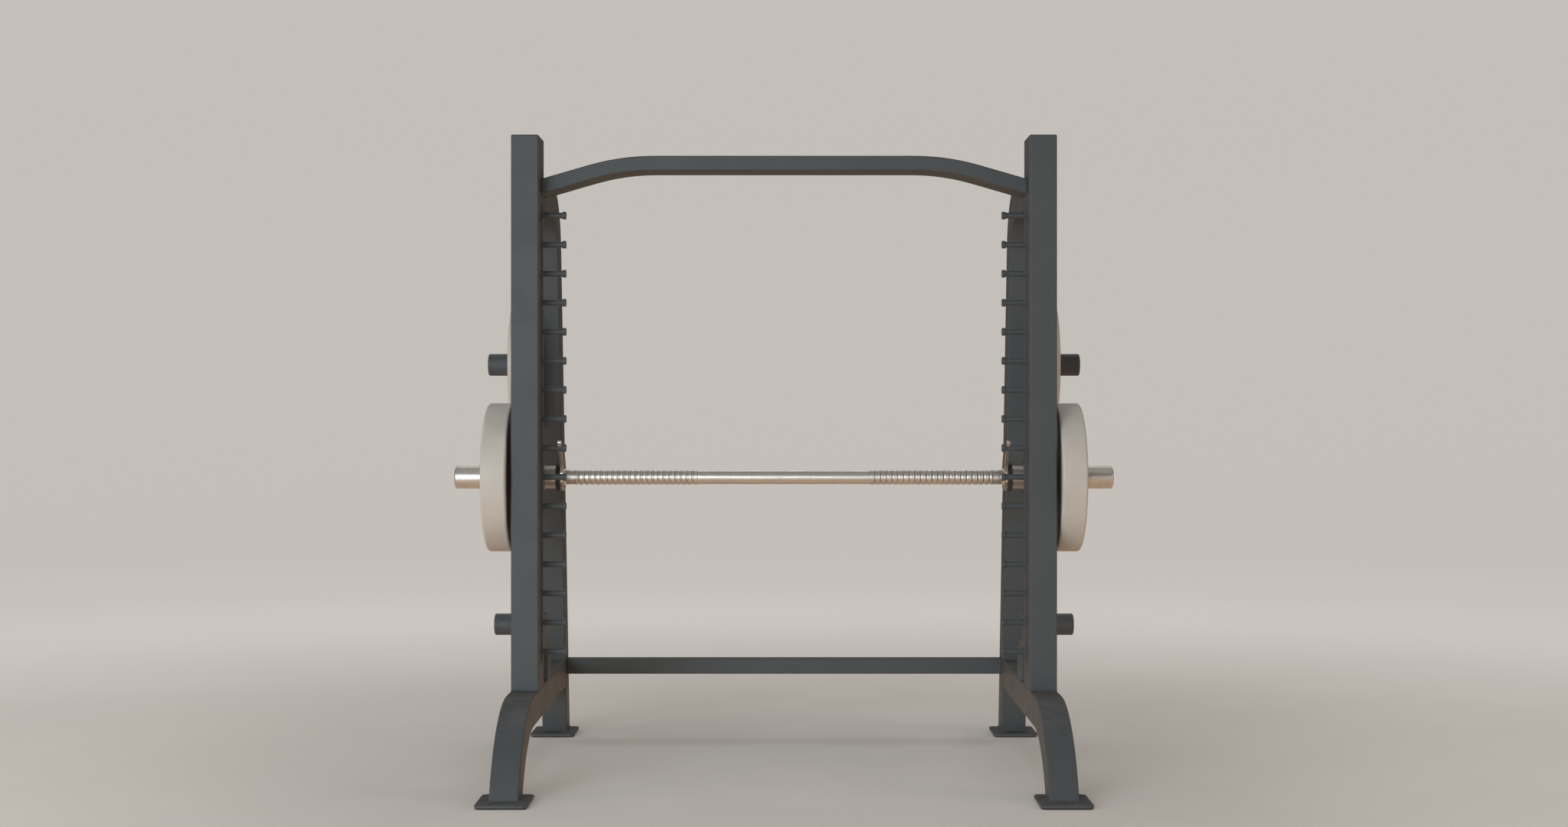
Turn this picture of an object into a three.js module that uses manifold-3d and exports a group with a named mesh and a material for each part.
// Smith machine: a floor-standing frame with two uprights, peg racks, guide rods and a
// barbell that slides up and down behind the uprights.
// Units are millimetres, +Z up, X to the right, Y to the back. The origin is on the floor
// at the centre of the footprint; the barbell's axis lies in the plane Y = 0.
import * as THREE from 'three';
import { mergeVertices } from 'three/addons/utils/BufferGeometryUtils.js';
import Module from 'manifold-3d';

const wasm = await Module();
wasm.setup();

// ---------------------------------------------------------------- shared dimensions
const GAP = 0.3;                    // clearance kept between pieces that touch
const RUNNING_GAP = 0.4;            // radial clearance of bushings and bearings
const SIDE_X = 845;                 // centre plane of each side frame
const TUBE_W = 90;                  // width of every side-frame tube along X
const WALL = 4;                     // tube wall
const CORNER = 5;                   // tube corner radius
const IN_X = SIDE_X - TUBE_W / 2;   // inner face of the side frames
const OUT_X = SIDE_X + TUBE_W / 2;  // outer face of the side frames

const UPRIGHT_FRONT = -215;
const UPRIGHT_BACK = -55;
const RAIL_TOP = 277;
const LEG_TOP = 1967;               // the rear leg's level part
const LEG_BOTTOM = 1857;
const PEG = {
  count: 16, pitch: 96, topZ: 1834, y: -110,
  radius: 9.75, headRadius: 12.75, headLength: 12, headChamfer: 3.2, endX: 720,
};
const ROD_Y = 117;
const ROD_R = 15;
const BAR_Z = 966;
const SLEEVE_R = 38;

// ---------------------------------------------------------------- materials
const standard = (settings) => new THREE.MeshStandardMaterial(settings);
const FRAME = standard({ color: 0x5c6165, roughness: 0.5, metalness: 0.35 });
const DARK = standard({ color: 0x33302f, roughness: 0.55, metalness: 0.3 });
const STEEL = standard({ color: 0xc9c7c4, roughness: 0.22, metalness: 1.0 });
const RUBBER = standard({ color: 0x1d1d1e, roughness: 0.85, metalness: 0.0 });
const PLATE = standard({ color: 0xc4bcb2, roughness: 0.6, metalness: 0.0 });
const POLYMER = standard({ color: 0x2a2c2e, roughness: 0.6, metalness: 0.0 });

// ---------------------------------------------------------------- outlines
// Outlines and profiles are lists of [u, v] pairs.
const vectors = (pairs) => pairs.map(([u, v]) => new THREE.Vector2(u, v));

// points of an arc, angles in degrees
function arc(centreU, centreV, radius, from, to, segments) {
  const points = [];
  for (let i = 0; i <= segments; i++) {
    const angle = THREE.MathUtils.degToRad(from + ((to - from) * i) / segments);
    points.push([centreU + radius * Math.cos(angle), centreV + radius * Math.sin(angle)]);
  }
  return points;
}

function roundedRect(width, height, radius, segments = 4) {
  const u = width / 2 - radius;
  const v = height / 2 - radius;
  return [
    ...arc(u, v, radius, 0, 90, segments),
    ...arc(-u, v, radius, 90, 180, segments),
    ...arc(-u, -v, radius, 180, 270, segments),
    ...arc(u, -v, radius, 270, 360, segments),
  ];
}

// a list for u > 0, preceded by its mirror image for u < 0
const symmetric = (half) => [...half.map(([u, v]) => [-u, v]).reverse(), ...half];

// ---------------------------------------------------------------- extrusions
const basis = (u, v, w) => new THREE.Matrix4().makeBasis(
  new THREE.Vector3(...u), new THREE.Vector3(...v), new THREE.Vector3(...w));
const TO_YZ = basis([0, 1, 0], [0, 0, 1], [1, 0, 0]);    // u, v to Y, Z; depth along +X
const TO_XZ = basis([1, 0, 0], [0, 0, 1], [0, -1, 0]);   // u, v to X, Z; depth along -Y

function extrude(outline, depth, holes = []) {
  const shape = new THREE.Shape(vectors(outline));
  for (const hole of holes) shape.holes.push(new THREE.Path(vectors(hole)));
  return new THREE.ExtrudeGeometry(shape, { depth, bevelEnabled: false, curveSegments: 1 });
}

// a Y-Z outline extruded from x0 to x1
const extrudeX = (outline, x0, x1, holes) =>
  extrude(outline, x1 - x0, holes).applyMatrix4(TO_YZ).translate(x0, 0, 0);

// extrusion with its end edges rounded, within the given depth
function softExtrude(outline, depth, radius, bevelSegments = 2) {
  return new THREE.ExtrudeGeometry(new THREE.Shape(vectors(outline)), {
    depth: depth - 2 * radius,
    bevelEnabled: true,
    bevelThickness: radius,
    bevelSize: radius,
    bevelOffset: -radius,
    bevelSegments,
    curveSegments: 1,
  }).translate(0, 0, radius);
}

const box = (x0, x1, y0, y1, z0, z1) => new THREE.BoxGeometry(x1 - x0, y1 - y0, z1 - z0)
  .translate((x0 + x1) / 2, (y0 + y1) / 2, (z0 + z1) / 2);

// ---------------------------------------------------------------- turned pieces
// A profile is a list of [place along the axis, radius].
const LATHE_TO_X = basis([0, 1, 0], [1, 0, 0], [0, 0, -1]);
const LATHE_TO_Z = new THREE.Matrix4().makeRotationX(Math.PI / 2);

function lathe(profile, segments) {
  return new THREE.LatheGeometry(vectors(profile.map(([along, r]) => [r, along])), segments);
}
const turnedX = (profile, segments = 28) => lathe(profile, segments).applyMatrix4(LATHE_TO_X);
const turnedZ = (profile) => lathe(profile, 20).applyMatrix4(LATHE_TO_Z);

const cylinder = (start, end, radius) => [[start, 0], [start, radius], [end, radius], [end, 0]];

const chamferedSides = (start, end, radius, chamfer) => [
  [start, radius - chamfer], [start + chamfer, radius],
  [end - chamfer, radius], [end, radius - chamfer],
];
const chamferedCylinder = (start, end, radius, chamfer) =>
  [[start, 0], ...chamferedSides(start, end, radius, chamfer), [end, 0]];
const chamferedRing = (start, end, inner, outer, chamfer) =>
  [[start, inner], ...chamferedSides(start, end, outer, chamfer), [end, inner], [start, inner]];

// ---------------------------------------------------------------- solids
function solid(geometry) {
  const bare = geometry.clone();
  bare.deleteAttribute('normal');
  bare.deleteAttribute('uv');
  const merged = mergeVertices(bare, 1e-4);
  return new wasm.Manifold(new wasm.Mesh({
    numProp: 3,
    vertProperties: new Float32Array(merged.attributes.position.array),
    triVerts: new Uint32Array(merged.index.array),
  }));
}

function geometryOf(manifold) {
  const mesh = manifold.getMesh();
  const geometry = new THREE.BufferGeometry();
  const positions = new Float32Array(mesh.vertProperties);
  geometry.setAttribute('position', new THREE.BufferAttribute(positions, 3));
  geometry.setIndex(new THREE.BufferAttribute(new Uint32Array(mesh.triVerts), 1));
  geometry.computeVertexNormals();
  return geometry;
}

// mirror image of an indexed geometry, with its triangles turned to face outward again
function mirrorX(geometry) {
  const mirrored = geometry.clone();
  mirrored.applyMatrix4(new THREE.Matrix4().makeScale(-1, 1, 1));
  const index = mirrored.index.array;
  for (let i = 0; i < index.length; i += 3) {
    [index[i], index[i + 1]] = [index[i + 1], index[i]];
  }
  mirrored.computeVertexNormals();
  return mirrored;
}

// ---------------------------------------------------------------- assembly
const machine = new THREE.Group();
machine.name = 'smith_machine';

function add(name, geometry, material, x, y, z) {
  const mesh = new THREE.Mesh(geometry, material);
  mesh.name = name;
  mesh.position.set(x, y, z);
  machine.add(mesh);
}

// the same piece on both side frames; shiftX is measured from each frame's centre plane
function addToFrames(name, geometry, material, y, z, shiftX = 0) {
  add(`${name}_left`, geometry, material, -SIDE_X + shiftX, y, z);
  add(`${name}_right`, geometry, material, SIDE_X + shiftX, y, z);
}

// a piece built for the right side, and its mirror image on the left
function addMirrored(name, geometry, material, y, z, x = 0) {
  add(`${name}_left`, mirrorX(geometry), material, -x, y, z);
  add(`${name}_right`, geometry, material, x, y, z);
}

// ---------------------------------------------------------------- uprights
const UPRIGHT_D = UPRIGHT_BACK - UPRIGHT_FRONT;
const UPRIGHT_Y = (UPRIGHT_FRONT + UPRIGHT_BACK) / 2;
const CAP_T = 8;                           // from the tube's end to the cap's top
const UPRIGHT_TOP = 2090 - CAP_T;          // top of the tube, under its cap
const BORE_W = TUBE_W - 2 * WALL;
const UPRIGHT_BORE_D = UPRIGHT_D - 2 * WALL;

function uprightTube() {
  return extrude(roundedRect(TUBE_W, UPRIGHT_D, CORNER), UPRIGHT_TOP - RAIL_TOP - GAP,
    [roundedRect(BORE_W, UPRIGHT_BORE_D, CORNER - WALL)]);
}

// a lid with a rounded top edge, and a plug inside the tube
function uprightCap() {
  const lidDepth = 11.4;                   // before the lower rounding is cut away
  const plugDepth = 22;
  const plugGap = 0.5;
  const lid = softExtrude(roundedRect(TUBE_W, UPRIGHT_D, CORNER, 3), lidDepth, 3.5)
    .translate(0, 0, CAP_T - GAP - lidDepth);
  const plugOutline = roundedRect(
    BORE_W - 2 * plugGap, UPRIGHT_BORE_D - 2 * plugGap, CORNER - WALL - plugGap, 3);
  const plug = extrude(plugOutline, plugDepth).translate(0, 0, GAP - plugDepth);
  const trimmed = solid(lid).subtract(solid(box(-200, 200, -200, 200, -20, 0)));
  return geometryOf(trimmed.add(solid(plug)));
}

addToFrames('upright', uprightTube(), FRAME, UPRIGHT_Y, RAIL_TOP + GAP);
addToFrames('upright_cap', uprightCap(), FRAME, UPRIGHT_Y, UPRIGHT_TOP + GAP);

// ---------------------------------------------------------------- base rails and rear legs
const RAIL_BOTTOM = 177;
const RAIL_BEND = { y: -340, outer: 455 };
RAIL_BEND.z = RAIL_TOP - RAIL_BEND.outer;
RAIL_BEND.inner = RAIL_BEND.outer - (RAIL_TOP - RAIL_BOTTOM);

const LEG_TILT = 10;                       // degrees from the vertical
const LEG_ANGLE = THREE.MathUtils.degToRad(LEG_TILT);
const LEG_HALF = (LEG_TOP - LEG_BOTTOM) / 2;
const LEG_BEND = { y: 281, radius: 183 };  // radius of the centre line
LEG_BEND.z = LEG_TOP - LEG_HALF - LEG_BEND.radius;

const FOOT_T = 12;                         // foot plate and pad together

// the rear leg's centre line below its bend
const legY = (z) => LEG_BEND.y + LEG_BEND.radius * Math.cos(LEG_ANGLE) +
  (LEG_BEND.z + LEG_BEND.radius * Math.sin(LEG_ANGLE) - z) * Math.tan(LEG_ANGLE);

// level from the rear leg forward, then bent down to the front foot
function railOutline(inset) {
  const { y, z, outer, inner } = RAIL_BEND;
  const backY = 780 - inset;
  return [
    [backY, RAIL_TOP - inset],
    ...arc(y, z, outer - inset, 90, 164, 12),
    ...arc(y, z, inner + inset, 164, 90, 12),
    [backY, RAIL_BOTTOM + inset],
  ];
}

// level from the upright backward, then bent down to the rear foot
function legOutline(inset) {
  const { y, z, radius } = LEG_BEND;
  const half = LEG_HALF - inset;
  const frontY = -90 + inset;
  const endZ = -60;
  const acrossY = Math.cos(LEG_ANGLE) * half;
  const acrossZ = Math.sin(LEG_ANGLE) * half;
  return [
    [frontY, LEG_TOP - inset],
    [frontY, LEG_BOTTOM + inset],
    ...arc(y, z, radius - half, 90, LEG_TILT, 14),
    [legY(endZ) - acrossY, endZ - acrossZ],
    [legY(endZ) + acrossY, endZ + acrossZ],
    ...arc(y, z, radius + half, LEG_TILT, 90, 14),
  ];
}

// hollow tube along a Y-Z outline, cut off level just above the foot plates
function bentTube(outline) {
  const shell = solid(softExtrude(outline(0), TUBE_W, CORNER).applyMatrix4(TO_YZ));
  const bore = solid(extrudeX(outline(WALL), WALL, TUBE_W - WALL));
  const belowFeet = solid(box(-50, 200, -1200, 1200, -400, FOOT_T + GAP));
  return shell.subtract(bore).subtract(belowFeet);
}

function baseRail() {
  // the back end is cut parallel to the rear leg's front face
  const cut = box(-50, 200, -GAP, 300, -500, 500)
    .applyMatrix4(new THREE.Matrix4().makeRotationX(LEG_ANGLE))
    .translate(0, legY(0) - LEG_HALF / Math.cos(LEG_ANGLE), 0);
  return geometryOf(bentTube(railOutline).subtract(solid(cut)));
}

function rearLeg() {
  const cut = box(-50, 200, -400, UPRIGHT_BACK + GAP, 1500, 2300);
  return geometryOf(bentTube(legOutline).subtract(solid(cut)));
}

addToFrames('base_rail', baseRail(), FRAME, 0, 0, -TUBE_W / 2);
addToFrames('rear_leg', rearLeg(), FRAME, 0, 0, -TUBE_W / 2);

// ---------------------------------------------------------------- peg racks
// one row of headed pegs on a backing strip; on the right side the pegs point to -X
function pegRack() {
  const strip = { halfWidth: 20, overhang: 34, thickness: 3 };
  const pegRootX = IN_X - 1.5;
  const headBackX = PEG.endX + PEG.headLength;
  const bottomZ = PEG.topZ - (PEG.count - 1) * PEG.pitch;
  let rack = solid(box(IN_X - GAP - strip.thickness, IN_X - GAP,
    -strip.halfWidth, strip.halfWidth, bottomZ - strip.overhang, PEG.topZ + strip.overhang));
  const peg = solid(turnedX([
    [PEG.endX, 0],
    [PEG.endX, PEG.headRadius - PEG.headChamfer],
    [PEG.endX + PEG.headChamfer, PEG.headRadius],
    [headBackX, PEG.headRadius],
    [headBackX, PEG.radius],
    [pegRootX, PEG.radius],
    [pegRootX, 0],
  ], 10));
  for (let i = 0; i < PEG.count; i++) {
    rack = rack.add(peg.translate([0, 0, PEG.topZ - i * PEG.pitch]));
  }
  return geometryOf(rack);
}

addMirrored('peg_rack', pegRack(), FRAME, PEG.y, 0);

// ---------------------------------------------------------------- feet
const FOOT = { width: 160, length: 205, y: 727.5, padHeight: 4, padInset: 3 };

const footPlate = softExtrude(
  roundedRect(FOOT.width, FOOT.length, 18, 5), FOOT_T - FOOT.padHeight - GAP, 1.5, 1);
const footPad = extrude(
  roundedRect(FOOT.width - 2 * FOOT.padInset, FOOT.length - 2 * FOOT.padInset, 15),
  FOOT.padHeight);
for (const [end, y] of [['front', -FOOT.y], ['rear', FOOT.y]]) {
  addToFrames(`foot_plate_${end}`, footPlate, FRAME, y, FOOT.padHeight + GAP);
  addToFrames(`foot_pad_${end}`, footPad, RUBBER, y, 0);
}

// ---------------------------------------------------------------- storage horns
const HORN_R = 39.3;
const HORN_Z = { upper: 1355, lower: 405 };

function storageHorn() {
  const endX = 1062;
  const chamfer = 5;
  return turnedX([
    [OUT_X + GAP, 0], [OUT_X + GAP, HORN_R],
    [endX - chamfer, HORN_R], [endX, HORN_R - chamfer], [endX, 0],
  ]);
}

const horn = storageHorn();
for (const [level, z] of Object.entries(HORN_Z)) {
  addMirrored(`storage_horn_${level}`, horn, FRAME, legY(z), z);
}

// ---------------------------------------------------------------- cross members
// right half of the top beam's centre line: [x, z]
const CROSSBAR_HALF = [
  [425, 2005], [455, 2004.4], [488, 2002.6], [520, 1999.4], [550, 1995],
  [580, 1989.6], [610, 1982.6], [640, 1974.6], [670, 1966], [840, 1916.6],
];

// the arched top beam: flat in the middle, its ends bent down to the uprights
function topCrossbar() {
  const depth = 160;
  const halfHeight = 24;
  const line = vectors(symmetric(CROSSBAR_HALF));
  const normals = line.map((point, i) => {
    const before = line[Math.max(0, i - 1)];
    const after = line[Math.min(line.length - 1, i + 1)];
    return new THREE.Vector2(before.y - after.y, after.x - before.x).normalize();
  });
  const offset = (distance) => line.map(({ x, y }, i) =>
    [x + normals[i].x * distance, y + normals[i].y * distance]);
  const outline = (half) => [...offset(half), ...offset(-half).reverse()];

  const shell = solid(softExtrude(outline(halfHeight), depth, 5).applyMatrix4(TO_XZ));
  const bore = solid(extrude(outline(halfHeight - WALL), depth - 2 * WALL)
    .translate(0, 0, WALL).applyMatrix4(TO_XZ));
  const ends = solid(box(-1000, -IN_X + GAP, -400, 400, 1700, 2200))
    .add(solid(box(IN_X - GAP, 1000, -400, 400, 1700, 2200)));
  return geometryOf(shell.subtract(bore).subtract(ends));
}

const LOW_BEAM = { depth: 66, height: 55, wall: 3, corner: 5, y: 735 };

function lowerCrossbar() {
  const { depth, height, wall, corner } = LOW_BEAM;
  const bore = roundedRect(depth - 2 * wall, height - 2 * wall, corner - wall, 3);
  return extrudeX(roundedRect(depth, height, corner, 3), -(IN_X - GAP), IN_X - GAP, [bore]);
}

add('top_crossbar', topCrossbar(), FRAME, 0, 20, 0);
add('lower_crossbar', lowerCrossbar(), FRAME, 0, LOW_BEAM.y, RAIL_TOP - LOW_BEAM.height / 2);

// ---------------------------------------------------------------- guides behind the uprights
const BRACKET_TOP = 506;
const COLLAR_BOTTOM = LEG_BOTTOM - 24;

// short hollow post on the base rail; a capped top carries the rod
function guidePost() {
  const depth = 100;
  const height = 384 - RAIL_TOP - GAP;
  const capThickness = 11;
  const overcut = 1;                       // the bore starts this far below the post
  const shell = solid(extrude(roundedRect(TUBE_W, depth, 6, 3), height));
  const boreOutline = roundedRect(TUBE_W - 2 * WALL, depth - 2 * WALL, 3, 3);
  const bore = solid(extrude(boreOutline, height - capThickness + overcut)
    .translate(0, 0, -overcut));
  const rodHole = solid(turnedZ(cylinder(-50, 200, ROD_R + GAP)));
  return geometryOf(shell.subtract(bore).subtract(rodHole));
}

function guideRod() {
  const bottom = 360;
  const top = LEG_BOTTOM - GAP;
  const chamfer = 1.5;
  return turnedZ([
    [bottom, 0], [bottom, ROD_R - chamfer], [bottom + chamfer, ROD_R], [top, ROD_R], [top, 0],
  ]);
}

// a C section on the upright's back face that ends the barbell's downward travel
function stopBracket() {
  const front = UPRIGHT_BACK + GAP;
  const back = 77;
  const webBack = 6;
  const outline = [
    [front, 386], [back, 386], [back, 420], [webBack, 420],
    [webBack, 482], [back, 482], [back, BRACKET_TOP], [front, BRACKET_TOP],
  ];
  const body = solid(extrudeX(outline, -TUBE_W / 2, TUBE_W / 2));
  const rodClearance = solid(turnedZ(cylinder(300, 600, ROD_R + 4)).translate(0, ROD_Y, 0));
  return geometryOf(body.subtract(rodClearance));
}

function lowerBuffer() {
  const height = 529 - BRACKET_TOP - GAP;
  return turnedZ([[0, 0], [0, 27], [5, 30], [height - 6, 30], [height, 24], [height, 0]]);
}

const rodCollar = turnedZ(
  chamferedRing(COLLAR_BOTTOM, LEG_BOTTOM - GAP, ROD_R + GAP, 34, 1.5));
const upperBuffer = turnedZ(
  chamferedRing(LEG_BOTTOM - 59, COLLAR_BOTTOM - GAP, ROD_R + GAP, 26, 4));

addToFrames('guide_post', guidePost(), FRAME, ROD_Y, RAIL_TOP + GAP);
addToFrames('guide_rod', guideRod(), STEEL, ROD_Y, 0);
addToFrames('rod_collar', rodCollar, DARK, ROD_Y, 0);
addToFrames('upper_buffer', upperBuffer, RUBBER, ROD_Y, 0);
addToFrames('stop_bracket', stopBracket(), FRAME, 0, 0);
addToFrames('lower_buffer', lowerBuffer(), RUBBER, 0, BRACKET_TOP + GAP);

// ---------------------------------------------------------------- carriages
const HOUSING_HALF = 42;                   // half the barbell housing's width
const HOUSING_R = 49;
const RUNNER_HALF = 60;                    // half the rod sleeve's height
const BEARING_R = 44.5;
const BEARING_HALF = HOUSING_HALF - 2;
const BUSH_R = 22;

// each carriage joins a round barbell housing to a sleeve round the guide rod
function carriage() {
  const housing = solid(turnedX(chamferedCylinder(-HOUSING_HALF, HOUSING_HALF, HOUSING_R, 2)));
  const runner = solid(turnedZ(chamferedCylinder(-RUNNER_HALF, RUNNER_HALF, 32, 3))
    .translate(0, ROD_Y, 0));
  const web = solid(extrudeX([[20, -40], [ROD_Y, -52], [ROD_Y, 52], [20, 40]], -22, 22));
  const barHole = solid(turnedX(cylinder(-60, 60, BEARING_R + GAP)));
  const rodHole = solid(turnedZ(cylinder(-80, 80, BUSH_R + GAP)).translate(0, ROD_Y, 0));
  return geometryOf(housing.add(web).add(runner).subtract(barHole).subtract(rodHole));
}

const rodBushing = turnedZ(
  chamferedRing(-RUNNER_HALF, RUNNER_HALF, ROD_R + RUNNING_GAP, BUSH_R, 0.8));
const barBearing = turnedX(
  chamferedRing(-BEARING_HALF, BEARING_HALF, SLEEVE_R + RUNNING_GAP, BEARING_R, 1));

addToFrames('carriage', carriage(), DARK, 0, BAR_Z);
addToFrames('rod_bushing', rodBushing, POLYMER, ROD_Y, BAR_Z);
addToFrames('bar_bearing', barBearing, STEEL, 0, BAR_Z);

// ---------------------------------------------------------------- barbell
const HOOK_X0 = 735;
const HOOK_X1 = 748;
const COLLAR_X1 = 763;
const BAR_END = 1102;
const SLEEVE_END = BAR_END - 10;
const PLATE_X0 = 905;

// thin centre, two slightly thicker hand zones, plain shoulders
function gripBar() {
  const end = HOOK_X0 - GAP;
  return turnedX(symmetric([
    [286, 23], [288, 24.5], [700, 24.5], [702, 24], [end, 24], [end, 0],
  ]), 24);
}

// hub round the bar, an arm that rises behind a peg, and a nose over the peg's top;
// the outline is in Y and Z from the barbell's axis
function hookPlate() {
  const pegZ = PEG.topZ - 8 * PEG.pitch - BAR_Z;
  const toPeg = THREE.MathUtils.radToDeg(Math.atan2(pegZ, PEG.y));
  const seat = PEG.radius + 0.65;
  const reach = Math.hypot(PEG.y, pegZ) + seat;
  const outline = [
    ...arc(0, 0, 45, -200, 28, 22),                // hub, from its front round below to its back
    [28, 46], [5, 72], [-24, 92], [-56, 108],      // back and top of the arm
    [-80, 118], [-100, 123.5], [-114, 125.2],
    ...arc(-121, 118.5, 6.6, 75, 200, 5),          // rounded nose
    ...arc(0, 0, reach, toPeg + 1.2, toPeg, 1),    // underside of the nose turns about the bar
    ...arc(PEG.y, pegZ, seat, toPeg, -52, 12),     // seat over and behind the peg
    [-88, 76], [-70, 58], [-54, 38],               // front of the arm
  ];
  return geometryOf(solid(extrudeX(outline, HOOK_X0 + GAP, HOOK_X1 - GAP)));
}

function hookCollar() {
  const radius = 50.5;
  const chamfer = 2;
  return turnedX([
    [HOOK_X1, 0], [HOOK_X1, radius - chamfer], [HOOK_X1 + chamfer, radius],
    [COLLAR_X1 - chamfer, radius], [COLLAR_X1 - GAP, radius - chamfer], [COLLAR_X1 - GAP, 0],
  ]);
}

// ring on the sleeve, just inside the weight plate
function sleeveFlange() {
  const inner = SLEEVE_R + GAP;
  const outer = 48;
  const end = PLATE_X0 - GAP;
  return turnedX([[OUT_X, inner], [OUT_X, outer], [end, outer], [end, inner], [OUT_X, inner]]);
}

function sleeveCap() {
  return turnedX([
    [SLEEVE_END + GAP, 0], [SLEEVE_END + GAP, SLEEVE_R], [BAR_END - 7, SLEEVE_R + 1],
    [BAR_END - 2.3, SLEEVE_R - 1.2], [BAR_END, SLEEVE_R - 6], [BAR_END, 0],
  ]);
}

const sleeve = turnedX(cylinder(COLLAR_X1, SLEEVE_END, SLEEVE_R));

add('grip_bar', gripBar(), STEEL, 0, 0, BAR_Z);
addMirrored('hook', hookPlate(), STEEL, 0, BAR_Z);
addMirrored('hook_collar', hookCollar(), DARK, 0, BAR_Z);
addMirrored('sleeve', sleeve, STEEL, 0, BAR_Z);
addMirrored('sleeve_flange', sleeveFlange(), STEEL, 0, BAR_Z);
addMirrored('sleeve_cap', sleeveCap(), STEEL, 0, BAR_Z);

// ---------------------------------------------------------------- weight plates
const STORED_X0 = 893;
const PLATE_BORE_GAP = 0.8;

// a thick disc with chamfered rims and a shallow dish on both faces
function weightPlate(radius, thickness, boreRadius) {
  const rim = radius - 30;                 // inner radius of the flat rim
  const hub = 70;
  const dish = 2.5;
  const slope = 4;                         // radial run of the dish's sides
  const edge = 6;
  const face = [
    [0, boreRadius], [0, hub], [dish, hub + slope], [dish, rim - slope],
    [0, rim], [0, radius - edge], [edge, radius],
  ];
  const farFace = face.map(([x, r]) => [thickness - x, r]).reverse();
  return turnedX([...face, ...farFace, face[0]], 34);
}

const loadedPlate = weightPlate(248, 83, SLEEVE_R + PLATE_BORE_GAP);
const storedPlate = weightPlate(240, 74, HORN_R + PLATE_BORE_GAP);
addMirrored('plate', loadedPlate, PLATE, 0, BAR_Z, PLATE_X0);
addMirrored('stored_plate', storedPlate, PLATE, legY(HORN_Z.upper), HORN_Z.upper, STORED_X0);

export default machine;
